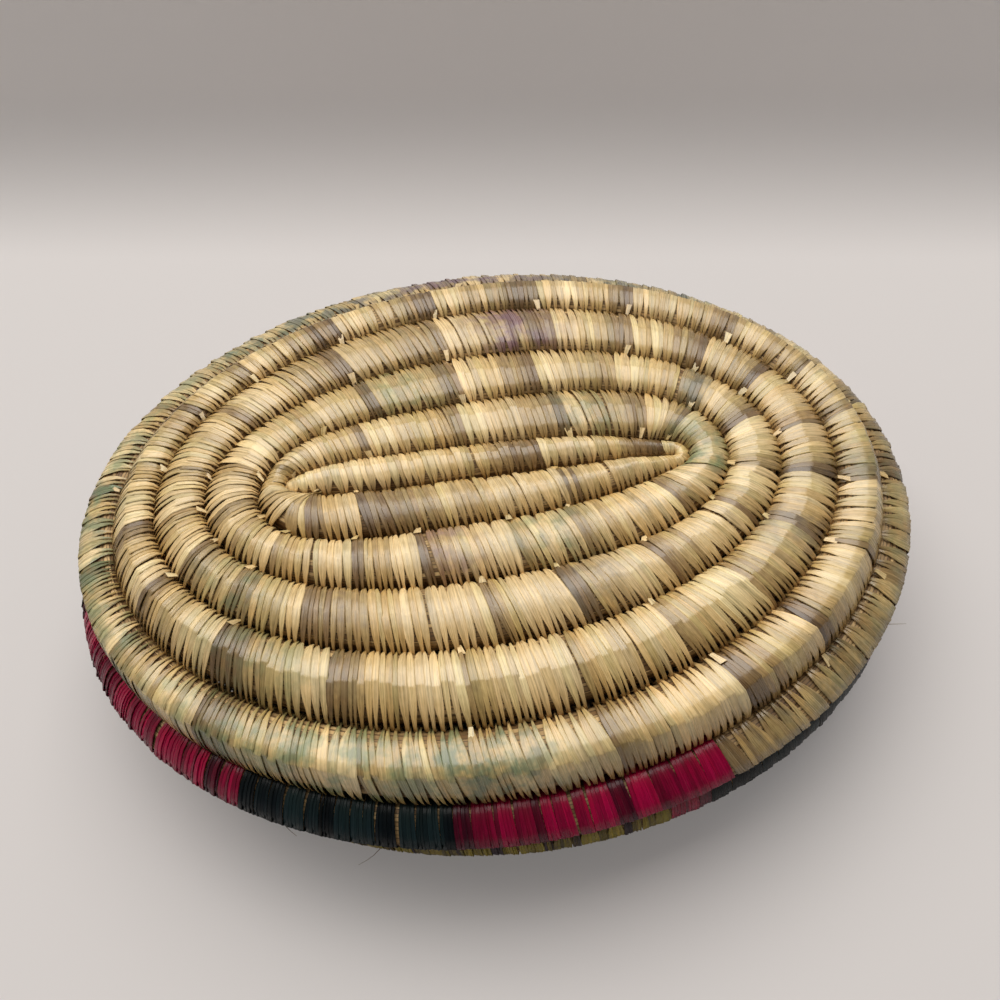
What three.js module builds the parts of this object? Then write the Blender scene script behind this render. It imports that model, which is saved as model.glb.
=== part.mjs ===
// Lidded oval basket of coiled grass, closed, with the lid seated on the body.
// Millimetres, +Z up. The origin lies on the floor, under the middle of the outline.
// Lid and body are each one grass bundle laid in an oval spiral, from the middle outwards.
// Leaf strip binds the bundle all along, in runs of one colour that follow each other.
import * as THREE from "three";

// The coil, shared by lid and body
const COIL_THICKNESS = 13; // square to the woven surface
const SIDE_PITCH = 19.6; // round to round on the long sides, where the bundle lies flattened
const END_PITCH = 14.7; // round to round at the two ends of the oval
const RISE_PITCH = 17.2; // round to round down the lid's skirt and up the body's wall
const ROUND_GAP = 1; // clear space between neighbouring rounds
const RUN_GAP = 0.4; // clear space between two runs of binding
const BUNDLE_CLEARANCE = 0.4; // clear space between the bundle and its binding
const BUNDLE_SHARE = 0.6; // part of the coil's width and thickness that the bundle takes
const FLAT_SHARE = 0.5; // part of the coil's width that is flat on top and below

// The start of the spiral: a straight stretch, a hairpin, then the first round
const START_LIFT = 3.6; // room that the straight start takes from the first round
const LIFT_FADE_FROM = 0.75; // turns between which that room closes again
const LIFT_FADE_TO = 1.25;
const START_FILL = 0.78; // width of the first round's beginning, as a share of its pitch
const START_SETBACK = 3; // from the oval's left focus to the bundle's tip
const TIP_TAPER = 30; // length over which the tip grows to its full width
const TIP_HALF_WIDTH = 3;
const TIP_FULLNESS = 1.5; // greatest thickness of a thin stretch, as a share of its width
const HAIRPIN_GAP = 1.8; // clear space inside the hairpin
const HAIRPIN_SETBACK = 2; // from the oval's right focus to the hairpin's tip
const SQUARENESS = 4.2; // how straight the first round's sides run
const SQUARENESS_TURNS = 0.9; // turns over which the rounds ease into plain ovals
const LAST_SQUARENESS = 0.1;

// The lid: a shallow crown, a shoulder, a skirt and a rim that draws in below it
const LID_HALF_START = 47.7; // from the middle to either focus of the spiral's start
const CROWN_TURNS = 3.7;
const CROWN_SLOPE_PER_TURN = THREE.MathUtils.degToRad(1.4);
const SHOULDER_TURNS = 0.9;
const SKIRT_SLOPE = THREE.MathUtils.degToRad(60);
const SKIRT_TURNS = 0.5;
const RIM_TURNS = 0.9; // from the skirt to the rim's full slope, where the end starts to thin out
const RIM_SLOPE = THREE.MathUtils.degToRad(122);
const DRIFT_FROM = 3; // turn from which the lid's rounds lie off centre, towards the right end
const DRIFT_PER_TURN = 1.5;

// The body: a flat base, a knee and a leaning wall that ends in a level rim
const KNEE_TURNS = 1.5;
const WALL_SLOPE = THREE.MathUtils.degToRad(72);
const WALL_TURNS = 1.2;
const FIT_CLEARANCE = 2; // from the body's rim to the lid's opening
const SEAT_GAP = 0.3; // from the rim to the lid's underside

// Both coils thin out over a full turn, so that the rim lies level, and stop short of its end
const TAPER_TURNS = 1;
const END_STUB_TURNS = 0.35;

// Runs of coloured binding on the skirt, in turns, from where the natural binding stops.
// The last run goes on to the end of the coil.
const NATURAL_SKIRT_TURNS = 0.585;
const SKIRT_RUNS = [
  ["magenta", 0.094],
  ["navy", 0.077],
  ["magenta", 0.134],
  ["navy", 0.12],
  ["magenta", 0.12],
  ["navy", 0.13],
  ["magenta", 0.24],
  ["navy", 0.09],
  ["magenta", 0.016],
];
const LAST_RUN = "yellow";

// Steps of the coil per turn, in a multiple of four
const LID_STEPS = 24;
const BODY_STEPS = 20;
const HAIRPIN_STEPS = 6;
const TIP_STEPS = 3;
const SEAT_SAMPLES = 6; // places tried on each step of the rim
const GAP_SAMPLES = 4; // places measured on each step of a coil
const GAP_APART = 50; // least path between two places whose gap is measured
const HELD_HIGH = 300; // height at which the lid is held before it is set down
const HALF_CORNER = 0.5; // by which the bore's first corner comes after the outside's

const MATERIALS = {
  natural: new THREE.MeshStandardMaterial({ color: 0xc9b184, roughness: 0.55, metalness: 0 }),
  magenta: new THREE.MeshStandardMaterial({ color: 0x8d1547, roughness: 0.45, metalness: 0 }),
  navy: new THREE.MeshStandardMaterial({ color: 0x172a33, roughness: 0.45, metalness: 0 }),
  yellow: new THREE.MeshStandardMaterial({ color: 0x9a8b34, roughness: 0.5, metalness: 0 }),
  grass: new THREE.MeshStandardMaterial({ color: 0xa8905c, roughness: 0.85, metalness: 0 }),
};

const FULL_TURN = 2 * Math.PI;
const UP = new THREE.Vector3(0, 0, 1);
const HALF_THICKNESS = COIL_THICKNESS / 2;

// Size of the oval, height and slope of the woven surface at each step of a coil.
// coil.rise is -1 where the surface falls outwards, as on the lid, and 1 where it climbs.
function layRounds(coil) {
  const rounds = [];
  const count = Math.round((coil.turns + TAPER_TURNS - END_STUB_TURNS) * coil.steps);
  let end = coil.halfStart;
  let side = 0;
  let height = 0;
  for (let i = 0; i <= count; i += 1) {
    const turn = i / coil.steps;
    const slope = coil.slopeAt(turn);
    const lift = START_LIFT * (1 - THREE.MathUtils.smoothstep(turn, LIFT_FADE_FROM, LIFT_FADE_TO));
    rounds.push({ turn, slope, end, side: side + lift, height });
    const thinning = turn >= coil.turns ? 1 - 1 / (2 * TAPER_TURNS) : 1;
    const advance = thinning / coil.steps;
    end += END_PITCH * Math.cos(slope) * advance;
    side += SIDE_PITCH * Math.cos(slope) * advance;
    height += coil.rise * RISE_PITCH * Math.sin(slope) * advance;
  }
  return rounds;
}

// Middle of the coil on a round. The coil runs clockwise, seen from above.
function roundPoint(coil, round) {
  const angle = FULL_TURN * round.turn;
  const cosine = Math.cos(angle);
  const squareness = LAST_SQUARENESS + SQUARENESS * Math.exp(-round.turn / SQUARENESS_TURNS);
  const straight = (coil.halfStart * Math.tanh(squareness * cosine)) / Math.tanh(squareness);
  const drift = coil.driftPerTurn * Math.max(round.turn - DRIFT_FROM, 0);
  const x = straight + (round.end - coil.halfStart) * cosine + drift;
  return new THREE.Vector3(x, -round.side * Math.sin(angle), round.height);
}

// Directions of a section: across the coil, outwards along the woven surface, and square to it
function sectionFrame(tangent, slope, rise) {
  const outward = new THREE.Vector3().crossVectors(UP, tangent).normalize();
  const across = outward.clone().multiplyScalar(Math.cos(slope));
  across.addScaledVector(UP, rise * Math.sin(slope));
  const normal = UP.clone().multiplyScalar(Math.cos(slope));
  normal.addScaledVector(outward, -rise * Math.sin(slope));
  return { across, normal };
}

// Weight of a round in its share of the space to a neighbour. It falls as the coil thins out.
function roundWeight(coil, turn) {
  const thinned = Math.max(turn - coil.turns, 0) / TAPER_TURNS;
  return Math.min(THREE.MathUtils.lerp(START_FILL, 1, turn), 1) * (1 - thinned);
}

// Sections of the rounds. Each one reaches half way to the rounds inside and outside it.
function roundSections(coil, rounds) {
  const points = rounds.map((round) => roundPoint(coil, round));
  return points.map((point, i) => {
    const before = points[Math.max(i - 1, 0)];
    const after = points[Math.min(i + 1, points.length - 1)];
    const tangent = after.clone().sub(before).normalize();
    const { across, normal } = sectionFrame(tangent, rounds[i].slope, coil.rise);
    const turn = rounds[i].turn;
    const reach = (neighbour, neighbourTurn) => {
      const way = neighbour.clone().sub(point).projectOnPlane(tangent);
      const weight = roundWeight(coil, turn);
      const share = weight / (weight + roundWeight(coil, neighbourTurn));
      return way.setLength(way.length() * share - ROUND_GAP / 2);
    };
    const outer = points[i + coil.steps] && reach(points[i + coil.steps], turn + 1);
    const inner = points[i - coil.steps] && reach(points[i - coil.steps], turn - 1);
    const outward = outer ?? across.clone().setLength(inner.length());
    const inward = inner ?? across.clone().setLength(-outer.length());
    return makeSection(turn, point, outward, inward, normal);
  });
}

function makeSection(turn, point, outward, inward, normal) {
  const halfWidth = (outward.length() + inward.length()) / 2;
  const halfThickness = Math.min(HALF_THICKNESS, halfWidth * TIP_FULLNESS);
  return { turn, point, outward, inward, normal, halfThickness };
}

// Sections of the straight start and the hairpin, between the first round's two long sides
function startSections(coil, rounds, sections) {
  const firstSide = coil.steps / 4;
  const near = sections[firstSide];
  const far = sections[3 * firstSide];
  const low = near.point.y + near.inward.length() + HAIRPIN_GAP;
  const high = far.point.y - far.inward.length() - ROUND_GAP;
  const fullHalfWidth = (high - low) / 2;
  const y = (high + low) / 2;
  const radius = (y - near.point.y) / 2;
  const hairpinX = coil.halfStart - HAIRPIN_SETBACK - radius;
  const tipX = START_SETBACK - coil.halfStart;
  const stations = [];
  for (let i = 0; i <= TIP_STEPS; i += 1) {
    const share = i / TIP_STEPS;
    stations.push({
      point: new THREE.Vector3(tipX + TIP_TAPER * share, y, 0),
      outward: new THREE.Vector3(0, 1, 0),
      halfWidth: THREE.MathUtils.lerp(TIP_HALF_WIDTH, fullHalfWidth, share),
    });
  }
  const centre = new THREE.Vector3(hairpinX, y - radius, 0);
  for (let i = 0; i <= HAIRPIN_STEPS; i += 1) {
    const share = i / HAIRPIN_STEPS;
    const outward = new THREE.Vector3(Math.sin(Math.PI * share), Math.cos(Math.PI * share), 0);
    stations.push({
      point: centre.clone().addScaledVector(outward, radius),
      outward,
      halfWidth: THREE.MathUtils.lerp(fullHalfWidth, near.inward.length(), share),
    });
  }
  return stations.map(({ point, outward, halfWidth }, i) => {
    const turn = rounds[firstSide].turn - (stations.length - i) / coil.steps;
    const reach = outward.clone().multiplyScalar(halfWidth);
    return makeSection(turn, point, reach, reach.clone().negate(), UP);
  });
}

// Corners of the binding's outside, its bore and the bundle at a section
function sectionRings(section) {
  const { point, outward, inward, normal, halfThickness } = section;
  const corner = (reach, share, height) =>
    point.clone().addScaledVector(reach, share).addScaledVector(normal, height);
  const square = (shrink) => {
    const height = halfThickness * BUNDLE_SHARE - shrink;
    const outwardShare = BUNDLE_SHARE - shrink / outward.length();
    const inwardShare = BUNDLE_SHARE - shrink / inward.length();
    return [
      corner(outward, outwardShare, height),
      corner(inward, inwardShare, height),
      corner(inward, inwardShare, -height),
      corner(outward, outwardShare, -height),
    ];
  };
  return {
    turn: section.turn,
    path: point,
    outside: [
      corner(outward, 1, 0),
      corner(outward, FLAT_SHARE, halfThickness),
      corner(inward, FLAT_SHARE, halfThickness),
      corner(inward, 1, 0),
      corner(inward, FLAT_SHARE, -halfThickness),
      corner(outward, FLAT_SHARE, -halfThickness),
    ],
    bore: square(0),
    bundle: square(BUNDLE_CLEARANCE),
  };
}

function layCoil(coil) {
  const rounds = layRounds(coil);
  const sections = roundSections(coil, rounds);
  const start = startSections(coil, rounds, sections);
  const laid = [...start, ...sections.slice(coil.steps / 4)];
  return { ...coil, rounds, rings: laid.map(sectionRings) };
}

// Least distance between two stretches of a coil that are well apart along its path,
// over points on the long edges of its steps
function leastGap(coil) {
  const stations = [];
  let along = 0;
  for (let i = 1; i < coil.rings.length; i += 1) {
    const a = coil.rings[i - 1];
    const b = coil.rings[i];
    const length = a.path.distanceTo(b.path);
    for (let part = 0; part < GAP_SAMPLES; part += 1) {
      const share = part / GAP_SAMPLES;
      const points = a.outside.map((corner, k) => corner.clone().lerp(b.outside[k], share));
      stations.push({ along: along + length * share, points });
    }
    along += length;
  }
  let least = Infinity;
  stations.forEach((a, i) => {
    const apart = stations.slice(i).filter((b) => b.along - a.along > GAP_APART);
    for (const p of apart.flatMap((b) => b.points)) {
      for (const q of a.points) {
        least = Math.min(least, p.distanceTo(q));
      }
    }
  });
  return least;
}

// Adds a ring where a run of binding starts or stops, on the straight step that holds it
function cutRing(coil, turn) {
  const { rings } = coil;
  const next = rings.findIndex((ring) => ring.turn > turn);
  const a = rings[next - 1];
  const b = rings[next];
  const share = (turn - a.turn) / (b.turn - a.turn);
  const blend = (part) => a[part].map((corner, k) => corner.clone().lerp(b[part][k], share));
  rings.splice(next, 0, {
    turn,
    path: a.path.clone().lerp(b.path, share),
    outside: blend("outside"),
    bore: blend("bore"),
    bundle: blend("bundle"),
  });
}

// Length of a full turn at the pace of the coil's step that holds this turn
function turnLength(coil, turn) {
  const next = coil.rings.findIndex((ring) => ring.turn > turn);
  const a = coil.rings[next - 1];
  const b = coil.rings[next];
  return a.path.distanceTo(b.path) / (b.turn - a.turn);
}

// Surface of a tube through a list of rings. Facing is -1 for a bore.
function tubeFaces(offset, sides, count, facing) {
  const faces = [];
  for (let i = 0; i < count - 1; i += 1) {
    for (let k = 0; k < sides; k += 1) {
      const a = offset + i * sides + k;
      const b = offset + i * sides + ((k + 1) % sides);
      const near = facing > 0 ? [a, b, b + sides] : [a, b + sides, b];
      const far = facing > 0 ? [a, b + sides, a + sides] : [a, a + sides, b + sides];
      faces.push(...near, ...far);
    }
  }
  return faces;
}

// Flat end between an outer ring of corners and an inner one that starts half a corner later
function ringEndFaces(outer, inner, facing) {
  const faces = [];
  let i = 0;
  let j = 0;
  while (i < outer.length || j < inner.length) {
    const a = outer[i % outer.length];
    const b = inner[j % inner.length];
    const nextOuter = (i + 1) / outer.length;
    const nextInner = (j + 1 + HALF_CORNER) / inner.length;
    const takeOuter = j >= inner.length || (i < outer.length && nextOuter <= nextInner);
    const next = takeOuter ? outer[(i + 1) % outer.length] : inner[(j + 1) % inner.length];
    faces.push(...(facing > 0 ? [a, next, b] : [a, b, next]));
    i += takeOuter ? 1 : 0;
    j += takeOuter ? 0 : 1;
  }
  return faces;
}

function meshFrom(name, corners, faces, material) {
  const geometry = new THREE.BufferGeometry();
  geometry.setAttribute("position", new THREE.Float32BufferAttribute(corners.flatMap((p) => p.toArray()), 3));
  geometry.setIndex(faces);
  geometry.computeVertexNormals();
  const mesh = new THREE.Mesh(geometry, material);
  mesh.name = name;
  return mesh;
}

// The grass bundle: one unbroken tube from the tip to the end
function bundleMesh(name, coil) {
  const rings = coil.rings.map((ring) => ring.bundle);
  const sides = rings[0].length;
  const faces = tubeFaces(0, sides, rings.length, 1);
  const last = (rings.length - 1) * sides;
  for (let k = 1; k < sides - 1; k += 1) {
    faces.push(0, k + 1, k);
    faces.push(last, last + k, last + k + 1);
  }
  return meshFrom(name, rings.flat(), faces, MATERIALS.grass);
}

// One run of binding: a sleeve round the bundle
function bindingMesh(name, rings, colour) {
  const outer = rings[0].outside.length;
  const inner = rings[0].bore.length;
  const boreOffset = rings.length * outer;
  const corners = [...rings.flatMap((ring) => ring.outside), ...rings.flatMap((ring) => ring.bore)];
  const faces = [
    ...tubeFaces(0, outer, rings.length, 1),
    ...tubeFaces(boreOffset, inner, rings.length, -1),
  ];
  const list = (offset, count) => Array.from({ length: count }, (_, k) => offset + k);
  faces.push(...ringEndFaces(list(0, outer), list(boreOffset, inner), -1));
  const lastOuter = list((rings.length - 1) * outer, outer);
  const lastInner = list(boreOffset + (rings.length - 1) * inner, inner);
  faces.push(...ringEndFaces(lastOuter, lastInner, 1));
  return meshFrom(name, corners, faces, MATERIALS[colour]);
}

// The bundle and its runs of binding, which follow each other from the tip to the end.
// A run is its name, its colour and the turn at which it stops; the last one goes to the end.
function coilMeshes(name, coil, runs) {
  const stops = runs.slice(0, -1).map(([, , stop]) => {
    const half = RUN_GAP / 2 / turnLength(coil, stop);
    return [stop - half, stop + half];
  });
  stops.flat().forEach((turn) => cutRing(coil, turn));
  let from = -Infinity;
  const bindings = runs.map(([runName, colour], i) => {
    const [to, next] = stops[i] ?? [Infinity, Infinity];
    const rings = coil.rings.filter((ring) => ring.turn >= from && ring.turn <= to);
    from = next;
    return bindingMesh(runName, rings, colour);
  });
  return [bundleMesh(name, coil), ...bindings];
}

const skirtStart = CROWN_TURNS + SHOULDER_TURNS;
const rimStart = skirtStart + SKIRT_TURNS;

// The woven surface turns over evenly at the shoulder, and again at the rim
function lidSlope(turn) {
  const crownSlope = CROWN_SLOPE_PER_TURN * Math.min(turn, CROWN_TURNS);
  const shoulderShare = THREE.MathUtils.clamp((turn - CROWN_TURNS) / SHOULDER_TURNS, 0, 1);
  const rimShare = THREE.MathUtils.clamp((turn - rimStart) / RIM_TURNS, 0, 1);
  const skirtSlope = THREE.MathUtils.lerp(crownSlope, SKIRT_SLOPE, shoulderShare);
  return THREE.MathUtils.lerp(skirtSlope, RIM_SLOPE, rimShare);
}

const lidCoil = layCoil({
  halfStart: LID_HALF_START,
  turns: rimStart + RIM_TURNS,
  steps: LID_STEPS,
  rise: -1,
  slopeAt: lidSlope,
  driftPerTurn: DRIFT_PER_TURN,
});

// The body's rim passes through the lid's opening, which is narrowest where the rim is drawn in
const halfFlat = (FLAT_SHARE * RISE_PITCH) / 2;
const inset = ({ slope }) => HALF_THICKNESS * Math.sin(slope) + halfFlat * Math.abs(Math.cos(slope));
const opening = lidCoil.rounds.filter(({ turn }) => turn >= skirtStart && turn <= lidCoil.turns);
const wallReach = FIT_CLEARANCE + HALF_THICKNESS / Math.sin(WALL_SLOPE);
const rimEnd = Math.min(...opening.map((round) => round.end - inset(round))) - wallReach;
const rimSide = Math.min(...opening.map((round) => round.side - inset(round))) - wallReach;
const kneeRun = (KNEE_TURNS * Math.sin(WALL_SLOPE)) / WALL_SLOPE;
const taperedTurns = (TAPER_TURNS - END_STUB_TURNS) * (1 - 1 / (2 * TAPER_TURNS));
const wallRun = (WALL_TURNS + taperedTurns) * Math.cos(WALL_SLOPE);
const baseTurns = rimSide / SIDE_PITCH - kneeRun - wallRun;

function bodySlope(turn) {
  return WALL_SLOPE * THREE.MathUtils.clamp((turn - baseTurns) / KNEE_TURNS, 0, 1);
}

const bodyCoil = layCoil({
  halfStart: rimEnd - (rimSide * END_PITCH) / SIDE_PITCH,
  turns: baseTurns + KNEE_TURNS + WALL_TURNS,
  steps: BODY_STEPS,
  rise: 1,
  slopeAt: bodySlope,
  driftPerTurn: 0,
});

function makeBody() {
  const body = new THREE.Group();
  const lastRound = bodyCoil.rings.at(-1).turn - 1;
  const runs = [
    ["body_binding_base", "natural", baseTurns],
    ["body_binding_wall_lower", "natural", (baseTurns + lastRound) / 2],
    ["body_binding_wall_upper", "natural", lastRound],
    ["body_binding_rim", "natural"],
  ];
  body.add(...coilMeshes("body_bundle", bodyCoil, runs));
  body.position.set(DRIFT_PER_TURN * (lidCoil.turns - DRIFT_FROM), 0, HALF_THICKNESS);
  return body;
}

function makeLid() {
  const lid = new THREE.Group();
  let stop = skirtStart + NATURAL_SKIRT_TURNS;
  const runs = [
    ["lid_binding_crown", "natural", CROWN_TURNS],
    ["lid_binding_shoulder", "natural", stop],
  ];
  const counts = {};
  for (const [colour, turns] of SKIRT_RUNS) {
    counts[colour] = (counts[colour] ?? 0) + 1;
    stop += turns;
    runs.push([`lid_binding_${colour}_${counts[colour]}`, colour, stop]);
  }
  runs.push([`lid_binding_${LAST_RUN}`, LAST_RUN]);
  lid.add(...coilMeshes("lid_bundle", lidCoil, runs));
  return lid;
}

// Room above the body's rim below a lid held high over it, over points along the rim's corners
function roomAboveRim(body, lid) {
  const ray = new THREE.Raycaster();
  const lastRound = bodyCoil.rings.at(-1).turn - 1;
  const rim = bodyCoil.rings.filter((ring) => ring.turn >= lastRound);
  let room = Infinity;
  for (let i = 0; i < rim.length - 1; i += 1) {
    rim[i].outside.forEach((corner, k) => {
      for (let part = 0; part <= SEAT_SAMPLES; part += 1) {
        const point = corner.clone().lerp(rim[i + 1].outside[k], part / SEAT_SAMPLES);
        ray.set(point.add(body.position), UP);
        room = Math.min(room, ...ray.intersectObject(lid).map((hit) => hit.distance));
      }
    });
  }
  return room;
}

const body = makeBody();
const lid = makeLid();
lid.position.z = HELD_HIGH;
lid.updateMatrixWorld();
lid.position.z += SEAT_GAP - roomAboveRim(body, lid);

const gaps = [lidCoil, bodyCoil].map((coil) => leastGap(coil).toFixed(2));
console.log(`least gap between rounds: lid ${gaps[0]} mm, body ${gaps[1]} mm`);

const basket = new THREE.Group();
basket.add(body, lid);
const middle = new THREE.Box3().setFromObject(basket).getCenter(new THREE.Vector3());
basket.children.forEach((child) => child.position.sub(middle.setZ(0)));

export default basket;
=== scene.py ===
# %% [markdown]
# # A lidded oval basket of coiled grass
#
# The real basket is two long bundles of grass, one for the body and one for the lid. Each is laid
# in an oval spiral and bound with strips of palm leaf, which pass round the bundle and through the
# round before it. The solid model has the coils as smooth tubes. This lesson dresses them: the
# bundle becomes stems, and the binding becomes some three and a half thousand single stitches.
#
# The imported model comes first, because every piece takes its place from it.

# %% The frame
import math
from functools import partial
from types import SimpleNamespace

import bpy
import numpy as np
from mathutils import Matrix, Vector


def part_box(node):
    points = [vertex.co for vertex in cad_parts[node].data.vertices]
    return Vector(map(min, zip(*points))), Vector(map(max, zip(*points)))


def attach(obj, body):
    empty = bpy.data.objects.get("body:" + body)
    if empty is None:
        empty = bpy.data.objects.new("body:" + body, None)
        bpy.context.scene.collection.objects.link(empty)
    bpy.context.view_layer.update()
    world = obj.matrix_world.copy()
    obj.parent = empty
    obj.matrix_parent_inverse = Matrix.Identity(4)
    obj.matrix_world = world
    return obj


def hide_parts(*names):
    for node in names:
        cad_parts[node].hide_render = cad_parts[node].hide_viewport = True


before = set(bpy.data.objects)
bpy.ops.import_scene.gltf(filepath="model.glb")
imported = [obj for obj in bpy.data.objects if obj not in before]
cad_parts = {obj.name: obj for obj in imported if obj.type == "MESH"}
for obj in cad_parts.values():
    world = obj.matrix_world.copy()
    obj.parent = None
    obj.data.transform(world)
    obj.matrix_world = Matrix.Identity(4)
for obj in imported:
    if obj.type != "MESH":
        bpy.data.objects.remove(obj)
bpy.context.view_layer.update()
scene = bpy.context.scene
MM = 0.001

# %% [markdown]
# ## The rule of the coil
#
# Both coils follow the solid model's rule, so the stitches lie where the solids are. Each turn of
# the spiral adds one pitch, more on the long sides than at the ends. The surface tilts from round
# to round: the lid falls at its shoulder, and the body climbs at its knee. An imported curve could
# hold the same path, but a rule can be laid again with finer steps, as stitches need.

# %% Sizes of the coil
THICKNESS = 13 * MM  # square to the woven surface
SIDE_PITCH = 19.6 * MM  # round to round on the long sides
END_PITCH = 14.7 * MM  # round to round at the ends of the oval
RISE_PITCH = 17.2 * MM  # round to round on the lid's skirt and the body's wall
START_LIFT = 3.6 * MM  # room that the straight start takes from the first round
LIFT_FROM, LIFT_TO = 0.75, 1.25  # turns over which that room runs out
START_FILL = 0.78  # width of the first round's beginning, as a share of its pitch
START_SHIFT, SHIFT_FROM, SHIFT_TO = 1.8 * MM, 1.0, 2.5  # the first rounds lie towards the front
TIP_BEYOND, TIP_TAPER, TIP_HALF_WIDTH = 8 * MM, 22 * MM, 1 * MM  # the bundle's pointed tip
TIP_FULLNESS = 1.5  # most height of a narrow coil, in half widths
HAIRPIN_GAP = 0.3 * MM
FOLD_BEYOND, FOLD_HALF_WIDTH = 7.3 * MM, 2.2 * MM  # the fold's place past the half start
MOST_ROOM, ROOM_STEP, SMOOTHED = 30 * MM, 0.2 * MM, 9  # across a round that touches the start
SQUARENESS, SQUARENESS_TURNS, LAST_SQUARENESS = 4.2, 0.9, 0.1  # how straight the long sides are
LID_HALF_START = 47.7 * MM
CROWN_TURNS, SHOULDER_TURNS, SKIRT_TURNS, RIM_TURNS = 3.7, 0.9, 0.5, 0.9
CROWN_SLOPE_PER_TURN = math.radians(1.4)
SKIRT_SLOPE, RIM_SLOPE = math.radians(60), math.radians(122)
DRIFT_FROM, DRIFT_PER_TURN = 3, 1.5 * MM  # the lid's outer rounds lie off centre
KNEE_TURNS, WALL_TURNS, WALL_SLOPE = 1.5, 1.2, math.radians(72)
FIT_CLEARANCE = 2 * MM
FLAT_SHARE = 0.5  # part of the solid coil's width that is flat on top
TAPER_TURNS, END_STUB_TURNS = 1, 0.35
STEPS = 96  # steps of a path per turn
UP = np.array([0.0, 0.0, 1.0])


def smoothstep(x, low, high):
    share = np.clip((x - low) / (high - low), 0, 1)
    return share * share * (3 - 2 * share)


def length(vectors):
    return np.linalg.norm(vectors, axis=-1)


# %% Laying a coil
def lay_rounds(half_start, turns, rise, slope_at, drift):
    """Middle of the coil at each step, the reach to its neighbours, and the way square to it."""
    count = round((turns + TAPER_TURNS - END_STUB_TURNS) * STEPS)
    turn = np.arange(count + 1) / STEPS
    slope = slope_at(turn)
    advance = np.where(turn >= turns, 1 - 1 / (2 * TAPER_TURNS), 1) / STEPS
    ran = lambda pitch: np.concatenate([[0], np.cumsum(pitch * advance)[:-1]])
    end = ran(END_PITCH * np.cos(slope))
    side = ran(SIDE_PITCH * np.cos(slope))
    side += START_LIFT * (1 - smoothstep(turn, LIFT_FROM, LIFT_TO))
    height = rise * ran(RISE_PITCH * np.sin(slope))
    c = np.cos(2 * np.pi * turn)
    squareness = LAST_SQUARENESS + SQUARENESS * np.exp(-turn / SQUARENESS_TURNS)
    x = half_start * np.tanh(squareness * c) / np.tanh(squareness) + end * c
    x += drift * np.maximum(turn - DRIFT_FROM, 0)
    y = -side * np.sin(2 * np.pi * turn)
    y -= START_SHIFT * (1 - smoothstep(turn, SHIFT_FROM, SHIFT_TO))
    point = np.stack([x, y, height], -1)

    tangent = np.gradient(point, axis=0)
    tangent /= length(tangent)[:, None]
    outward = np.cross(UP, tangent)
    outward /= length(outward)[:, None]
    cosine, sine = np.cos(slope)[:, None], rise * np.sin(slope)[:, None]
    across, normal = outward * cosine + UP * sine, UP * cosine - outward * sine

    filled = np.minimum(START_FILL + (1 - START_FILL) * turn, 1)
    weight = filled * (1 - np.maximum(turn - turns, 0) / TAPER_TURNS)

    def reach(here, there):
        way = point[there] - point[here]
        way -= tangent[here] * np.sum(way * tangent[here], -1)[:, None]
        return way * (weight[here] / (weight[here] + weight[there]))[:, None]

    steps = np.arange(count + 1)
    has_outer, has_inner = steps + STEPS <= count, steps >= STEPS
    outer, inner = np.zeros_like(point), np.zeros_like(point)
    outer[has_outer] = reach(steps[has_outer], steps[has_outer] + STEPS)
    inner[has_inner] = reach(steps[has_inner], steps[has_inner] - STEPS)
    outer[~has_outer] = across[~has_outer] * length(inner[~has_outer])[:, None]
    inner[~has_inner] = -across[~has_inner] * length(outer[~has_inner])[:, None]
    laid = SimpleNamespace(turn=turn, point=point, outward=outer, inward=inner, normal=normal)
    laid.slope, laid.end, laid.side = slope, half_start + end, side
    return laid


def lay_start(half_start, rounds):
    """The straight start, its pointed fold, and the way back along the first round's near side."""
    near, far = STEPS // 4, 3 * STEPS // 4
    near_y, near_width = rounds.point[near][1], length(rounds.inward[near])
    low = near_y + near_width + HAIRPIN_GAP
    high = rounds.point[far][1] - length(rounds.inward[far])
    full, tip_x, fold_x = (high - low) / 2, -half_start - TIP_BEYOND, half_start + FOLD_BEYOND
    share = np.linspace(0, 1, STEPS)

    out_x = tip_x + (fold_x - tip_x) * share
    grown = np.sqrt(np.clip((out_x - tip_x) / TIP_TAPER, 0, 1))
    thinned = np.clip(out_x / fold_x, 0, 1) ** 2
    out_width = TIP_HALF_WIDTH + (full - TIP_HALF_WIDTH) * grown
    out_width += (FOLD_HALF_WIDTH - full) * thinned
    out_y = low + full + (FOLD_HALF_WIDTH - full) * thinned

    back_x = fold_x * (1 - share[:-1])
    back_width = near_width + (FOLD_HALF_WIDTH - near_width) * (back_x / fold_x) ** 2
    back_y = low - HAIRPIN_GAP - back_width

    bend, radius = np.pi * share[1:-1], (out_y[-1] - back_y[0]) / 2
    x = np.concatenate([out_x, fold_x + radius * np.sin(bend), back_x])
    y = np.concatenate([out_y, out_y[-1] - radius * (1 - np.cos(bend)), back_y])
    width = np.concatenate([out_width, np.full(len(bend), FOLD_HALF_WIDTH), back_width])
    point = np.stack([x, y, 0 * x], -1)
    tangent = np.gradient(point, axis=0)
    outward = np.cross(UP, tangent / length(tangent)[:, None]) * width[:, None]
    normal = np.tile(UP, (len(x), 1))
    return SimpleNamespace(point=point, outward=outward, inward=-outward, normal=normal)


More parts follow.
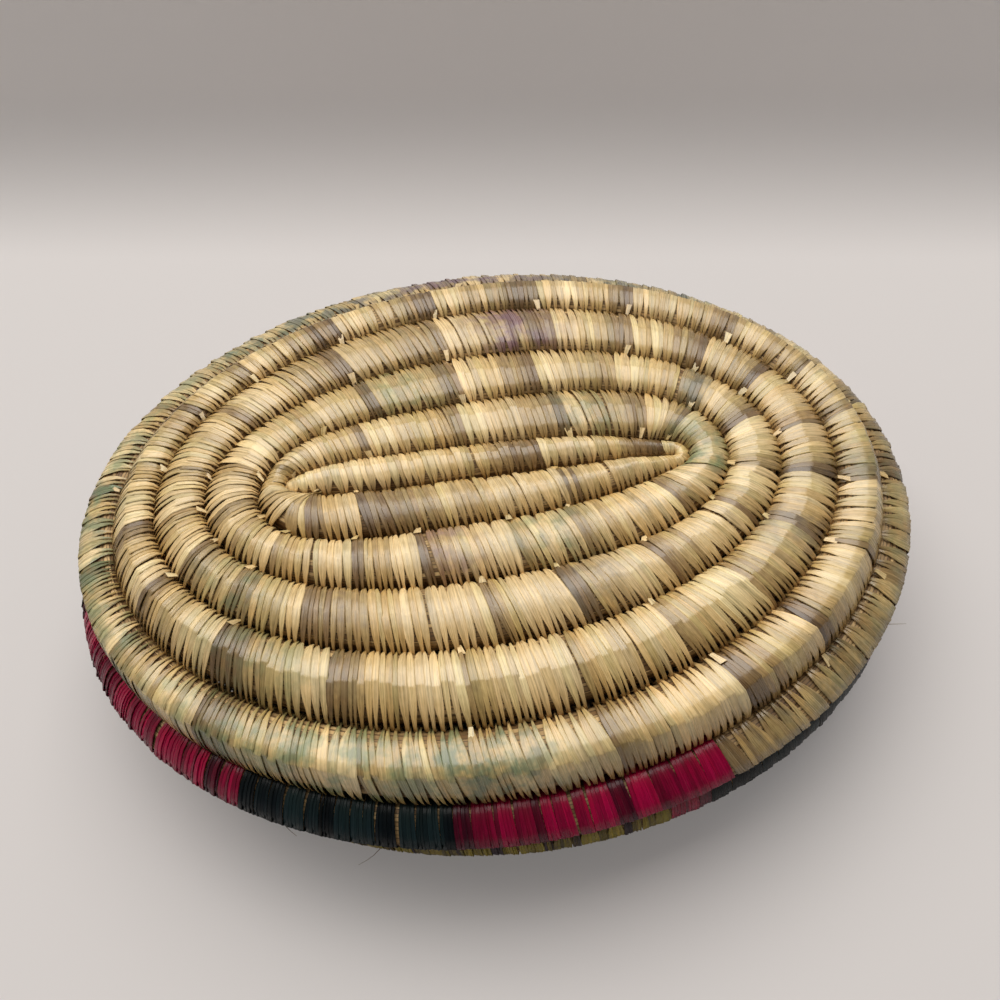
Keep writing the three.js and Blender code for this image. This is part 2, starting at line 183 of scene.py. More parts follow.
def fit_to_start(rounds, start):
    """Lays the rounds that touch the start midway between it and the groove outside them."""
    touching = slice(STEPS // 4, 5 * STEPS // 4)
    edge = rounds.point[touching] + rounds.outward[touching]
    way = rounds.inward[touching] / length(rounds.inward[touching])[:, None]
    tried = np.arange(0, MOST_ROOM, ROOM_STEP)
    width, room = length(start.outward), []
    for k, (spot, inwards) in enumerate(zip(edge, way)):
        met = STEPS if k < STEPS // 2 else len(start.point)  # first only the straight part
        gap = (spot + inwards * tried[:, None])[:, None, :2] - start.point[None, :met, :2]
        inside = np.min(length(gap) - width[:met], axis=1) < 0
        room.append(tried[np.argmax(inside)])
    room = np.pad(room, SMOOTHED // 2, mode="edge")
    room = np.convolve(room, np.ones(SMOOTHED) / SMOOTHED, mode="valid")[:, None]
    rounds.point[touching] = edge + way * room / 2
    rounds.outward[touching], rounds.inward[touching] = -way * room / 2, way * room / 2


def lay_coil(half_start, turns, rise, slope_at, place, drift=0.0):
    """Path of a whole coil, with its length so far and the turn at each step."""
    rounds = lay_rounds(half_start, turns, rise, slope_at, drift)
    start = lay_start(half_start, rounds)
    fit_to_start(rounds, start)
    first = STEPS // 4
    join = lambda name: np.concatenate([getattr(start, name), getattr(rounds, name)[first:]])
    coil = SimpleNamespace(**{n: join(n) for n in ("point", "outward", "inward", "normal")})
    coil.half_width = (length(coil.outward) + length(coil.inward)) / 2
    height = np.minimum(THICKNESS / 2, coil.half_width * TIP_FULLNESS)
    coil.crest = coil.normal * height[:, None]
    coil.point = coil.point + place
    coil.along = np.concatenate([[0], np.cumsum(length(np.diff(coil.point, axis=0)))])
    coil.turn = rounds.turn[first:]
    coil.at_turn = lambda turn: float(np.interp(turn, coil.turn, coil.along[len(start.point) :]))
    coil.rounds = rounds
    return coil


# %% The lid's coil and the body's coil
skirt_start = CROWN_TURNS + SHOULDER_TURNS
rim_start = skirt_start + SKIRT_TURNS
lid_turns = rim_start + RIM_TURNS


def lid_slope(turn):
    crown = CROWN_SLOPE_PER_TURN * np.minimum(turn, CROWN_TURNS)
    skirt = crown + (SKIRT_SLOPE - crown) * np.clip((turn - CROWN_TURNS) / SHOULDER_TURNS, 0, 1)
    return skirt + (RIM_SLOPE - skirt) * np.clip((turn - rim_start) / RIM_TURNS, 0, 1)


lid_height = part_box("lid_binding_crown")[1].z - THICKNESS / 2
lid_coil = lay_coil(LID_HALF_START, lid_turns, -1, lid_slope, UP * lid_height, DRIFT_PER_TURN)

# The body's rim passes through the lid's opening
lid_rounds = lid_coil.rounds
inset = THICKNESS / 2 * np.sin(lid_rounds.slope)
inset += FLAT_SHARE * RISE_PITCH / 2 * np.abs(np.cos(lid_rounds.slope))
opening = (lid_rounds.turn >= skirt_start) & (lid_rounds.turn <= lid_turns)
wall_reach = FIT_CLEARANCE + THICKNESS / 2 / math.sin(WALL_SLOPE)
rim_end = (lid_rounds.end - inset)[opening].min() - wall_reach
rim_side = (lid_rounds.side - inset)[opening].min() - wall_reach
tapered_turns = (TAPER_TURNS - END_STUB_TURNS) * (1 - 1 / (2 * TAPER_TURNS))
base_turns = rim_side / SIDE_PITCH - KNEE_TURNS * math.sin(WALL_SLOPE) / WALL_SLOPE
base_turns -= (WALL_TURNS + tapered_turns) * math.cos(WALL_SLOPE)
body_half_start = rim_end - rim_side * END_PITCH / SIDE_PITCH
body_turns = base_turns + KNEE_TURNS + WALL_TURNS


def body_slope(turn):
    return WALL_SLOPE * np.clip((turn - base_turns) / KNEE_TURNS, 0, 1)


body_place = np.array([DRIFT_PER_TURN * (lid_turns - DRIFT_FROM), 0, THICKNESS / 2])
body_coil = lay_coil(body_half_start, body_turns, 1, body_slope, body_place)

# The solid model's outline is centred over the origin, so both coils move with it
lid_ridge = lid_coil.point + lid_coil.crest
lid_edge = np.concatenate(
    [lid_ridge + FLAT_SHARE * reach for reach in (lid_coil.outward, lid_coil.inward)]
)
middle = (lid_edge.min(0) + lid_edge.max(0)) / 2 * (1, 1, 0)
for coil in (lid_coil, body_coil):
    coil.point = coil.point - middle
coils = {"lid": lid_coil, "body": body_coil}
print(f"lid coil {lid_coil.along[-1]:.2f} m, body coil {body_coil.along[-1]:.2f} m")

# %% [markdown]
# ## Small tools
#
# Node trees, meshes and objects are made in the same few steps again and again. These functions
# take them up, so that the cells below only say what is special in each.


# %% Helpers for node trees
def put(socket, value):
    """Links a socket to another one, or sets it to a plain value."""
    if isinstance(value, bpy.types.NodeSocket):
        socket.id_data.links.new(value, socket)
    elif value is not None:
        socket.default_value = value


def fill(node, inputs):
    for label, value in dict(inputs).items():
        put(node.inputs[label], value)


def add_node(tree, kind, inputs=(), **settings):
    node = tree.nodes.new(kind)
    for name, value in settings.items():
        setattr(node, name, value)
    fill(node, inputs)
    return node


def calc(tree, operation, a, b=None, c=None, clamp=False):
    settings = {"operation": operation, "use_clamp": clamp}
    return add_node(tree, "ShaderNodeMath", enumerate((a, b, c)), **settings).outputs[0]


def vector_calc(tree, operation, a, b=None, scale=None):
    inputs = {0: a, 1: b, 3: scale}
    return add_node(tree, "ShaderNodeVectorMath", inputs, operation=operation).outputs[0]


def separate(tree, vector):
    return add_node(tree, "ShaderNodeSeparateXYZ", {0: vector}).outputs


def combine(tree, x, y, z):
    return add_node(tree, "ShaderNodeCombineXYZ", enumerate((x, y, z))).outputs[0]


def noise(tree, place, detail=2.0, roughness=0.5):
    inputs = {"Vector": place, "Scale": 1.0, "Detail": detail, "Roughness": roughness}
    return add_node(tree, "ShaderNodeTexNoise", inputs).outputs[0]


def attribute(tree, name):
    return add_node(tree, "ShaderNodeAttribute", attribute_name=name).outputs["Fac"]


def ramp(tree, factor, stops):
    node = add_node(tree, "ShaderNodeValToRGB", {0: factor})
    elements = node.color_ramp.elements
    while len(elements) < len(stops):
        elements.new(0.5)
    for element, (position, colour) in zip(elements, stops):
        element.position = position
        element.color = (*colour, 1)
    return node.outputs[0]


def mix(tree, factor, a, b, blend="MIX"):
    inputs = {"Factor": factor, 6: a, 7: (*b, 1) if isinstance(b, tuple) else b}
    settings = {"data_type": "RGBA", "blend_type": blend}
    return add_node(tree, "ShaderNodeMix", inputs, **settings).outputs[2]


def new_group(kind, name, inputs, outputs):
    """A node group. Each socket has a kind, or it is a number with a default."""
    tree = bpy.data.node_groups.new(name, kind)
    for way, sockets in (("INPUT", inputs), ("OUTPUT", outputs)):
        for label, sort in sockets.items():
            number = isinstance(sort, float)
            socket_kind = "NodeSocket" + ("Float" if number else sort)
            made = tree.interface.new_socket(label, in_out=way, socket_type=socket_kind)
            if number:
                made.default_value = sort
    return tree, add_node(tree, "NodeGroupInput").outputs, add_node(tree, "NodeGroupOutput").inputs


def new_material(name):
    material = bpy.data.materials.new(name)
    material.use_nodes = True
    return material, material.node_tree, material.node_tree.nodes["Principled BSDF"]


# %% Helpers for meshes and objects
def add_object(name, data):
    made = bpy.data.objects.new(name, data)
    scene.collection.objects.link(made)
    return made


def new_mesh(name, corners, faces, columns, smooth=False):
    """A mesh with a number at each corner for every column."""
    mesh = bpy.data.meshes.new(name)
    mesh.from_pydata(corners, [], faces)
    mesh.polygons.foreach_set("use_smooth", [smooth] * len(faces))
    for label, column in columns.items():
        mesh.attributes.new(label, "FLOAT", "POINT").data.foreach_set("value", column)
    return mesh


def tube_faces(first, rings, sides):
    """Faces of a closed tube whose rings of corners follow each other from the first corner."""
    faces, last = [], first + (rings - 1) * sides
    for here in range(first, last, sides):
        for j in range(sides):
            beside = here + (j + 1) % sides
            faces.append((here + j, beside, beside + sides, here + j + sides))
    return [*faces, tuple(range(first, first + sides))[::-1], tuple(range(last, last + sides))]


# %% [markdown]
# ## The camera
#
# The camera stands where the rounds of the lid fall on the photograph's rows. It looks down from
# the front, a little from the left, and is turned slightly about its own axis.

# %% Camera
PICTURE = 1000  # pixels across the photograph
LENS_PIXELS = 1000  # from the lens to the picture plane, in the same pixels
SENSOR = 36  # millimetres across
VIEW_ELEVATION, VIEW_AZIMUTH = math.radians(54.3), math.radians(-4.5)
VIEW_ROLL = math.radians(-3.7)
VIEW_DISTANCE = 0.2844  # from the camera to the middle of the lid's spiral
SPIRAL_PIXEL = (480.7, 474.5)  # where that middle falls in the picture

ce, se = math.cos(VIEW_ELEVATION), math.sin(VIEW_ELEVATION)
back = Vector((math.sin(VIEW_AZIMUTH) * ce, -math.cos(VIEW_AZIMUTH) * ce, se))
right = (-back).cross(Vector((0, 0, 1))).normalized()
above = right.cross(-back)
cr, sr = math.cos(VIEW_ROLL), math.sin(VIEW_ROLL)
right, above = right * cr + above * sr, above * cr - right * sr


def way_through(x, y):
    """The way from the camera through a pixel of the picture."""
    side, high = x - PICTURE / 2, PICTURE / 2 - y
    return right * (side / LENS_PIXELS) + above * (high / LENS_PIXELS) - back


spiral_middle = Vector((-middle[0], -middle[1], lid_height))
place = spiral_middle - way_through(*SPIRAL_PIXEL).normalized() * VIEW_DISTANCE
camera_data = bpy.data.cameras.new("camera")
camera_data.sensor_width, camera_data.lens = SENSOR, SENSOR * LENS_PIXELS / PICTURE
camera_data.clip_start, camera_data.clip_end = 0.01, 20
camera = add_object("camera", camera_data)
turned = Matrix((right, above, back)).transposed().to_4x4()
camera.matrix_world = Matrix.Translation(place) @ turned
scene.camera = camera
print("camera at", [round(c, 3) for c in place])

# %% [markdown]
# ## Floor and light
#
# The photograph was taken in a small white booth. The floor runs back and bends up into the wall,
# as a sweep of paper does. A wide lamp above and behind gives the soft shadow under the front
# rim. The rest comes from the world, dim in front and brighter behind. The raised paper is there
# for the camera only and lets the light through. A little glow that only the camera sees brings
# the paper up to the photograph's grey.

# %% Floor
BEND_ROW = 258  # row of the picture at which the paper starts to rise
SWEEP_RADIUS, SWEEP_STEPS, SWEEP_TOP, PAPER_HALF = 0.05, 12, 0.5, 2.5


def on_floor(x, y):
    """The spot of the floor that the camera sees at a pixel of the picture."""
    way = way_through(x, y)
    return place - way * (place.z / way.z)


wall_left, wall_right = on_floor(0, BEND_ROW), on_floor(PICTURE, BEND_ROW)
along_wall = (wall_right - wall_left).normalized()
to_wall = Vector((-along_wall.y, along_wall.x, 0))
wall_start = wall_left.dot(to_wall)
sweep = [(-PAPER_HALF, 0.0)]
for step in range(SWEEP_STEPS + 1):
    bend = math.pi / 2 * step / SWEEP_STEPS
    far = wall_start + SWEEP_RADIUS * math.sin(bend)
    sweep.append((far, SWEEP_RADIUS * (1 - math.cos(bend))))
sweep.append((wall_start + SWEEP_RADIUS, SWEEP_TOP))
floor_corners = [
    along_wall * side + to_wall * far + Vector((0, 0, high))
    for far, high in sweep
    for side in (-PAPER_HALF, PAPER_HALF)
]
floor_faces = [(2 * k, 2 * k + 1, 2 * k + 3, 2 * k + 2) for k in range(len(sweep) - 1)]
floor_mesh = new_mesh("floor", floor_corners, floor_faces, {}, smooth=True)
floor = add_object("floor", floor_mesh)
print(f"the paper rises {wall_start:.3f} m behind the basket's middle")

# %% Paper
PAPER, WALL_PAPER, PAPER_ROUGHNESS = (0.535, 0.51, 0.50), (0.61, 0.573, 0.553), 0.8
PAPER_GLOW = 0.28  # part of the paper's own colour that the camera sees without light
paper, paper_tree, paper_shader = new_material("pale_paper")
sums = partial(calc, paper_tree)
height = separate(paper_tree, add_node(paper_tree, "ShaderNodeTexCoord").outputs["Object"])["Z"]
raised = sums("DIVIDE", height, SWEEP_RADIUS, clamp=True)
paper_colour = ramp(paper_tree, raised, [(0.0, PAPER), (1.0, WALL_PAPER)])
by_camera = add_node(paper_tree, "ShaderNodeLightPath").outputs["Is Camera Ray"]
from_behind = add_node(paper_tree, "ShaderNodeNewGeometry").outputs["Backfacing"]
indirect = sums("SUBTRACT", 1.0, by_camera)
let_through = sums("MULTIPLY", indirect, raised)
unseen = sums("MAXIMUM", let_through, from_behind)
paper_look = {
    "Base Color": paper_colour,
    "Roughness": PAPER_ROUGHNESS,
    "Emission Color": paper_colour,
    "Emission Strength": sums("MULTIPLY", by_camera, PAPER_GLOW),
}
fill(paper_shader, paper_look)
clear = add_node(paper_tree, "ShaderNodeBsdfTransparent")
ways = {0: unseen, 1: paper_shader.outputs[0], 2: clear.outputs[0]}
open_wall = add_node(paper_tree, "ShaderNodeMixShader", ways)
put(paper_tree.nodes["Material Output"].inputs["Surface"], open_wall.outputs[0])
floor_mesh.materials.append(paper)
print("paper:", PAPER, "rising to", WALL_PAPER)

# %% Light
FRONT_GLOW, BACK_GLOW = (0.09, 0.087, 0.084), (0.46, 0.45, 0.44)
GLOW_FROM, GLOW_TO = 0.2, 0.75  # from the front of the world to its back, as a share
LAMP_PLACE, LAMP_AIM, LAMP_SIZE = Vector((-0.3, 1.25, 3.2)), Vector((0, 0, 0.03)), (4.4, 3.0)
LAMP_POWER, LAMP_COLOUR = 122, (1, 0.965, 0.92)
scene.view_settings.view_transform = "Standard"
world = bpy.data.worlds.new("booth")
world.use_nodes = True
world_tree = world.node_tree
sky = separate(world_tree, add_node(world_tree, "ShaderNodeTexCoord").outputs["Generated"])
behind = calc(world_tree, "MULTIPLY_ADD", sky["Y"], 0.5, 0.5)
glow = ramp(world_tree, behind, [(GLOW_FROM, FRONT_GLOW), (GLOW_TO, BACK_GLOW)])
put(world_tree.nodes["Background"].inputs["Color"], glow)
scene.world = world

lamp_data = bpy.data.lights.new("booth_lamp", "AREA")
lamp_data.shape = "RECTANGLE"
lamp_data.size, lamp_data.size_y = LAMP_SIZE
lamp_data.energy, lamp_data.color = LAMP_POWER, LAMP_COLOUR
lamp = add_object("booth_lamp", lamp_data)
lamp.location = LAMP_PLACE
lamp.rotation_euler = (LAMP_AIM - LAMP_PLACE).to_track_quat("-Z", "Y").to_euler()
print("one lamp of", LAMP_POWER, "W,", LAMP_SIZE, "m")

# %% [markdown]
# ## Winding with Geometry Nodes
#
# A stitch is easiest to think of on a straight rod: x runs along the rod, y across it and z
# square to the woven surface. One node group then winds the rod on to its coil. It samples the
# path at the length x and moves each point by the reaches and the crest stored there. So all
# pieces can be laid out straight, and they fan at the ends of the oval by themselves.


# %% Path objects
def path_object(name, coil):
    mesh = bpy.data.meshes.new(name)
    count = len(coil.point)
    mesh.from_pydata(coil.point.tolist(), [(i, i + 1) for i in range(count - 1)], [])
    for label in ("outward", "inward", "crest"):
        layer = mesh.attributes.new(label, "FLOAT_VECTOR", "POINT")
        layer.data.foreach_set("vector", getattr(coil, label).ravel())
    return add_object(name, mesh)


lid_coil.path = path_object("lid_path", lid_coil)
body_coil.path = path_object("body_path", body_coil)


# %% Helpers for geometry trees
def stored(tree, name, kind="FLOAT"):
    inputs = {"Name": name}
    node = add_node(tree, "GeometryNodeInputNamedAttribute", inputs, data_type=kind)
    return node.outputs["Attribute"]


def geometry_tree(name, inputs):
    """A tree with a geometry going in and out, and other inputs."""
    shape = {"Geometry": "Geometry"}
    return new_group("GeometryNodeTree", name, shape | inputs, shape)


def object_shape(tree, source):
    inputs = {"Object": source}
    node = add_node(tree, "GeometryNodeObjectInfo", inputs, transform_space="ORIGINAL")
    return node.outputs["Geometry"]


# %% The winding group
winding, given, result = geometry_tree("wind_on_coil", {"Path": "Object"})
path_shape = {"Mesh": object_shape(winding, given["Path"])}
path_curve = add_node(winding, "GeometryNodeMeshToCurve", path_shape)
rod = separate(winding, add_node(winding, "GeometryNodeInputPosition").outputs[0])


def on_path(label):
    """Place on the path at the rod's x, and a vector stored there."""
    inputs = {
        "Curves": path_curve.outputs["Curve"],
        "Value": stored(winding, label, "FLOAT_VECTOR"),
        "Length": rod["X"],
    }
    settings = {"mode": "LENGTH", "data_type": "FLOAT_VECTOR"}
    sample = add_node(winding, "GeometryNodeSampleCurve", inputs, **settings)
    return sample.outputs["Position"], sample.outputs["Value"]


wound, outward_there = on_path("outward")
sums = partial(calc, winding)
out_share = sums("MAXIMUM", rod["Y"], 0.0)
in_share = sums("MAXIMUM", sums("MULTIPLY", rod["Y"], -1.0), 0.0)
for way, share in (
    (outward_there, out_share),
    (on_path("inward")[1], in_share),
    (on_path("crest")[1], rod["Z"]),
):
    wound = vector_calc(winding, "ADD", wound, vector_calc(winding, "SCALE", way, scale=share))
new_place = {"Geometry": given["Geometry"], "Position": wound}
laid = add_node(winding, "GeometryNodeSetPosition", new_place)
put(result["Geometry"], laid.outputs["Geometry"])
print("nodes of the winding group:", len(winding.nodes))

# %% [markdown]
# ## One stitch
#
# A stitch is a ribbon of leaf that goes once round the bundle. On the straight rod it is a ring
# with a flat, rounded section. Towards both grooves it narrows to a tip that reaches over the next
# round. Neighbours that share a hole in the round outside draw together there: the tree pulls each
# point towards the middle of its cluster, more the nearer it is to the groove. All stitches lean,
# since the strip advances while it goes round.

# %% A stitch on the rod
RIBBON_SECTION = [(-1, 0.978), (-0.8, 1.0), (0.8, 1.0), (1, 0.985)]  # across the strip, height
# Across and height of the wound coil, from the outer groove over the crest and back underneath
COIL_SECTION = [
    (1.18, 0.28), (1.09, 0.47), (0.94, 0.63), (0.72, 0.78), (0.45, 0.905), (0.16, 0.99),
    (0.07, 1.0), (-0.25, 0.94), (-0.55, 0.845), (-0.8, 0.68), (-0.95, 0.42), (-1.0, 0.1),
    (-0.9, -0.45), (-0.55, -0.84), (0.0, -1.0), (0.55, -0.84), (0.95, -0.42),
]


def stitch_ring():
    corners, faces = [], []
    sides, steps = len(RIBBON_SECTION), len(COIL_SECTION)
    for k, (y, z) in enumerate(COIL_SECTION):
        corners += [(x, r * y, r * z) for x, r in RIBBON_SECTION]
        here, there = k * sides, (k + 1) % steps * sides
        for j in range(sides):
            beside = (j + 1) % sides
            faces.append((here + j, there + j, there + beside, here + beside))
    around = [i // sides / steps for i in range(len(corners))]
    columns = {"across": [x for x, _, _ in corners], "around": around}
    mesh = new_mesh("stitch", corners, faces, columns, smooth=True)
    for edge in mesh.edges:
        edge.use_edge_sharp = edge.vertices[0] // sides != edge.vertices[1] // sides
    return add_object("stitch", mesh)


stitch = stitch_ring()
print("faces of a stitch:", len(stitch.data.polygons))


# %% Winding and painting
def wind_and_paint(tree, given, result, geometry):
    """The end of a tree: winds a geometry on the path and gives it the material."""
    inputs = {"Geometry": geometry, "Path": given["Path"]}
    wind = add_node(tree, "GeometryNodeGroup", inputs, node_tree=winding)
    inputs = {"Geometry": wind.outputs["Geometry"], "Material": given["Material"]}
    painted = add_node(tree, "GeometryNodeSetMaterial", inputs)
    put(result["Geometry"], painted.outputs["Geometry"])


def realize(tree, geometry):
    return add_node(tree, "GeometryNodeRealizeInstances", {0: geometry}).outputs[0]


piece_inputs = {"Path": "Object", "Material": "Material"}
winding_only, given, result = geometry_tree("wind_a_piece", piece_inputs)
wind_and_paint(winding_only, given, result, realize(winding_only, given["Geometry"]))
print("nodes of the winding tree:", len(winding_only.nodes))

# %% The stitching tree
inputs = {"Stitch": "Object", "Outer Start": 0.1, "Inner Start": 0.5}
inputs |= {"Inner Pinch": 0.5, "Own Taper": 0.5}
stitching, given, result = geometry_tree("stitch_a_run", piece_inputs | inputs)
sums, value = partial(calc, stitching), partial(stored, stitching)
on_points = {
    "Points": given["Geometry"],
    "Instance": object_shape(stitching, given["Stitch"]),
    "Scale": combine(stitching, value("half_width"), value("fullness"), value("fullness")),
}
copies = add_node(stitching, "GeometryNodeInstanceOnPoints", on_points)
spot = separate(stitching, add_node(stitching, "GeometryNodeInputPosition").outputs[0])
across_rod = spot["Y"]


def pinch(y, start, least):
    """One on the ridge, falling from a start to the least width in the groove."""
    share = sums("DIVIDE", sums("SUBTRACT", y, start), sums("SUBTRACT", 1.0, start), clamp=True)
    drawn = sums("MULTIPLY", share, share)
    return sums("MULTIPLY_ADD", drawn, sums("SUBTRACT", least, 1.0), 1.0)


# Along the rod: the stitch's own taper, and then the pull towards its cluster
inwards = sums("MULTIPLY", across_rod, -1.0)
narrowed = sums(
    "MULTIPLY",
    pinch(across_rod, given["Outer Start"], value("pinch")),
    pinch(inwards, given["Inner Start"], given["Inner Pinch"]),
)
bowed = sums("MULTIPLY", across_rod, across_rod)
own = sums("MULTIPLY", sums("MULTIPLY", bowed, bowed), given["Own Taper"])
own_width = sums("SUBTRACT", 1.0, sums("MINIMUM", own, given["Own Taper"]))
cluster, centre = value("cluster"), value("centre")
thinned = sums("MULTIPLY", sums("SUBTRACT", spot["X"], centre), own_width)
from_cluster = sums("ADD", sums("SUBTRACT", centre, cluster), thinned)
drawn_in = sums("MULTIPLY_ADD", from_cluster, narrowed, cluster)
leaning = sums("MULTIPLY", across_rod, value("lean"))

# Across and up: one edge lies higher than the other, and the crest rolls to one side
tipped = sums("MULTIPLY_ADD", value("tilt"), value("across"), 1.0)
high_side = sums("SUBTRACT", 1.0, sums("MINIMUM", bowed, 1.0))
rolled = sums("MULTIPLY_ADD", high_side, value("roll"), across_rod)
moved = combine(
    stitching,
    sums("SUBTRACT", drawn_in, leaning),
    sums("MULTIPLY", rolled, tipped),
    sums("MULTIPLY", spot["Z"], tipped),
)
pulled_to = {"Geometry": realize(stitching, copies.outputs[0]), "Position": moved}
pulled = add_node(stitching, "GeometryNodeSetPosition", pulled_to)
wind_and_paint(stitching, given, result, pulled.outputs["Geometry"])
print("nodes of the stitching tree:", len(stitching.nodes))


# %% From a tree to a plain mesh
def make_piece(name, mesh, tree, body, node_names, slot, **inputs):
    """Runs a tree on a mesh laid out on the rod, and keeps the result as a plain piece."""
    piece = add_object(name, mesh)
    modifier = piece.modifiers.new("wound", "NODES")
    modifier.node_group = tree
    for item in tree.interface.items_tree:
        if item.in_out == "INPUT" and item.name in inputs:
            modifier[item.identifier] = inputs[item.name]
    depsgraph = bpy.context.evaluated_depsgraph_get()
    made = bpy.data.meshes.new_from_object(
        piece.evaluated_get(depsgraph), preserve_all_data_layers=True, depsgraph=depsgraph
    )
    piece.modifiers.remove(modifier)
    piece.data = made
    made.name = name
    bpy.data.meshes.remove(mesh)
    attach(piece, body)
    if node_names:
        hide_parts(*node_names)
    print(f"{name}: {len(made.polygons)} faces")
    return piece


# %% [markdown]
# ## Finishes
#
# Palm leaf is a satin straw: long fine veins run along each strip, and its colour goes from pale
# straw at the butt to grey taupe at the tip. Towards the grooves its colour is darkened as painted
# shade, and dye from the coloured strips has bled into some of it. One node group draws the veins
# from the strip's own coordinates, which every stitch carries as attributes, and each finish
# uses it with its own colours.

# %% Veins of a leaf strip
SEED_STEP = 97.0  # far enough apart that no two stitches share a grain
VEIN_STRETCH, VEIN_CONTRAST, VEIN_OFFSET = 4.0, 2.4, -0.7
MOTTLE_ACROSS, MOTTLE_AROUND = 0.8, 22.0
inputs = {"Across": 0.0, "Around": 0.0, "Seed": 0.0, "Veins": 2.2}
outputs = {"Vein": "Float", "Mottle": "Float"}
veins, given, result = new_group("ShaderNodeTree", "leaf_veins", inputs, outputs)
sums = partial(calc, veins)
seed_far = sums("MULTIPLY", given["Seed"], SEED_STEP)
vein_x = sums("MULTIPLY", given["Across"], given["Veins"])
vein_y = sums("MULTIPLY", given["Around"], VEIN_STRETCH)
fibre = noise(veins, combine(veins, vein_x, vein_y, seed_far), 3.0, 0.6)
put(result["Vein"], sums("MULTIPLY_ADD", fibre, VEIN_CONTRAST, VEIN_OFFSET, clamp=True))
mottle_y = sums("MULTIPLY", given["Around"], MOTTLE_AROUND)
mottle_x = sums("MULTIPLY", given["Across"], MOTTLE_ACROSS)
put(result["Mottle"], noise(veins, combine(veins, mottle_x, mottle_y, seed_far), 2.0))
print("nodes of the veins:", len(veins.nodes))

# %% Leaf finish
MOTTLE_SHARE = 0.35  # how far the mottling shifts the tone
STAIN_SCALE, MOST_STAIN = 170.0, 0.85
WHITE = (1.0, 1.0, 1.0)
STAIN_EDGES = [(0.42, (0.12,) * 3), (0.62, WHITE)]
SHADE_SEED, SHADE_MIDDLE, SHADE_SPREAD = 37.0, 0.82, 0.36  # each stitch is lighter or darker
HUE_SEED = 91.0
HUE_TINTS = [(0.0, (1.0, 0.95, 0.86)), (0.5, WHITE), (1.0, (0.95, 1.0, 0.92))]
VEIN_ROUGHNESS = 0.25  # added to a finish's least roughness
BUMP_STRENGTH, BUMP_DEPTH = 0.2, 0.2 * MM
# Painted shade towards both grooves: place round the coil as a share, and tint
GROOVE_SHADE_TINTS = [
    (0.0, (0.66, 0.50, 0.32)), (0.12, (0.85, 0.76, 0.62)), (0.26, WHITE), (0.45, WHITE),
    (0.56, (0.96, 0.89, 0.78)), (0.66, (0.76, 0.62, 0.46)), (0.8, (0.8, 0.73, 0.62)),
]


def leaf_material(name, stops, vein_depth, roughness, gloss, stains=()):
    """A strip finish: colours by tone, veins, dye stains and painted shade towards the grooves."""
    material, tree, shader = new_material(name)
    sums, value = partial(calc, tree), partial(attribute, tree)
    grain = add_node(tree, "ShaderNodeGroup", node_tree=veins)
    for label in ("Across", "Around", "Seed"):
        put(grain.inputs[label], value(label.lower()))
    vein, mottle = grain.outputs["Vein"], grain.outputs["Mottle"]
    shift = sums("MULTIPLY_ADD", sums("SUBTRACT", mottle, 0.5), MOTTLE_SHARE, value("tone"))
    colour = ramp(tree, sums("MINIMUM", shift, 1.0, clamp=True), stops)
    spot = add_node(tree, "ShaderNodeTexCoord").outputs["Object"]
    spot = vector_calc(tree, "SCALE", spot, scale=STAIN_SCALE)
    patch = ramp(tree, noise(tree, spot, 3.0, 0.6), STAIN_EDGES)
    for label, stain in stains:
        strength = sums("MULTIPLY", value(label), patch)
        colour = mix(tree, sums("MINIMUM", strength, MOST_STAIN, clamp=True), colour, stain)
    own = sums("FRACT", sums("MULTIPLY", value("seed"), SHADE_SEED))
    hue = sums("FRACT", sums("MULTIPLY", value("seed"), HUE_SEED))
    shade = sums("MULTIPLY_ADD", vein, vein_depth, SHADE_MIDDLE - vein_depth / 2)
    shade = sums("MULTIPLY_ADD", own, SHADE_SPREAD, shade)
    for tint in (
        combine(tree, shade, shade, shade),
        ramp(tree, hue, HUE_TINTS),
        # painted shade, darker towards both grooves than on the crest
        ramp(tree, value("around"), GROOVE_SHADE_TINTS),
    ):
        colour = mix(tree, 1.0, colour, tint, "MULTIPLY")
    relief = {"Strength": BUMP_STRENGTH, "Distance": BUMP_DEPTH, "Height": vein}
    look = {
        "Base Color": colour,
        "Roughness": sums("MULTIPLY_ADD", vein, VEIN_ROUGHNESS, roughness),
        "Specular IOR Level": gloss,
        "Normal": add_node(tree, "ShaderNodeBump", relief).outputs["Normal"],
    }
    fill(shader, look)
    return material


# %% Natural and dyed leaf
# Colours from the palest tone to the darkest, depth of the veins, least roughness, gloss, stains
LOOKS = {
    "natural": (
        [(0.0, (0.82, 0.63, 0.34)), (0.3, (0.62, 0.44, 0.185)),
         (0.65, (0.29, 0.185, 0.075)), (1.0, (0.13, 0.075, 0.032))],
        0.6, 0.15, 0.9,
        [("green_stain", (0.15, 0.235, 0.125)), ("purple_stain", (0.20, 0.10, 0.15))],
    ),
    "magenta": (
        [(0.0, (0.36, 0.001, 0.05)), (0.5, (0.14, 0.001, 0.021)), (1.0, (0.04, 0.001, 0.01))],
        0.5, 0.12, 0.3,
    ),
    "navy": (
        [(0.0, (0.010, 0.022, 0.026)), (0.5, (0.004, 0.008, 0.011)), (1.0, (0.002, 0.003, 0.004))],
        0.5, 0.14, 0.15,
    ),
    "yellow": (
        [(0.0, (0.34, 0.26, 0.03)), (0.55, (0.22, 0.165, 0.025)), (1.0, (0.03, 0.012, 0.025))],
        0.4, 0.28, 0.3,
    ),
}
leaves = {name: leaf_material(f"{name}_leaf", *look) for name, look in LOOKS.items()}
print("leaf finishes:", list(leaves))

